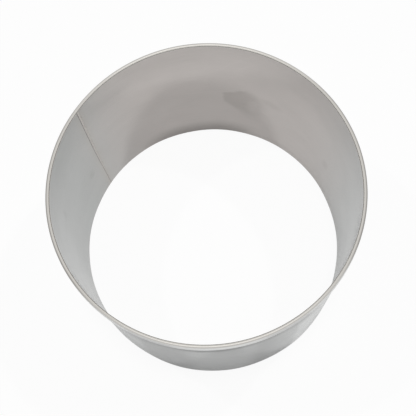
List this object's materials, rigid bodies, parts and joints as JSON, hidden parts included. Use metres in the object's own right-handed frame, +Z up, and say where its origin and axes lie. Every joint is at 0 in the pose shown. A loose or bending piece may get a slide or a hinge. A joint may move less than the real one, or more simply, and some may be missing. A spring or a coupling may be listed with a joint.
{
  "type": "mousse ring",
  "caption": "Straight-walled round pastry ring of satin stainless sheet, open at top and bottom, with an outward folded rim and a butt-welded seam, for moulding mousse and cake.",
  "frame": {"origin": "centre of the ring at its bottom edge", "axes": "+Z up along the ring's axis, +Y towards the welded seam"},
  "size_m": [0.072, 0.072, 0.05],
  "materials": {
    "satin_steel": "satin cold-rolled stainless sheet with a faint grain along the strip and a burnished rim",
    "weld_steel": "fine dressed butt weld, a little darker and rougher than the sheet"
  },
  "bodies": {
    "root": {"ring_band": "satin_steel", "seam_weld": "weld_steel"}
  },
  "joints": []
}
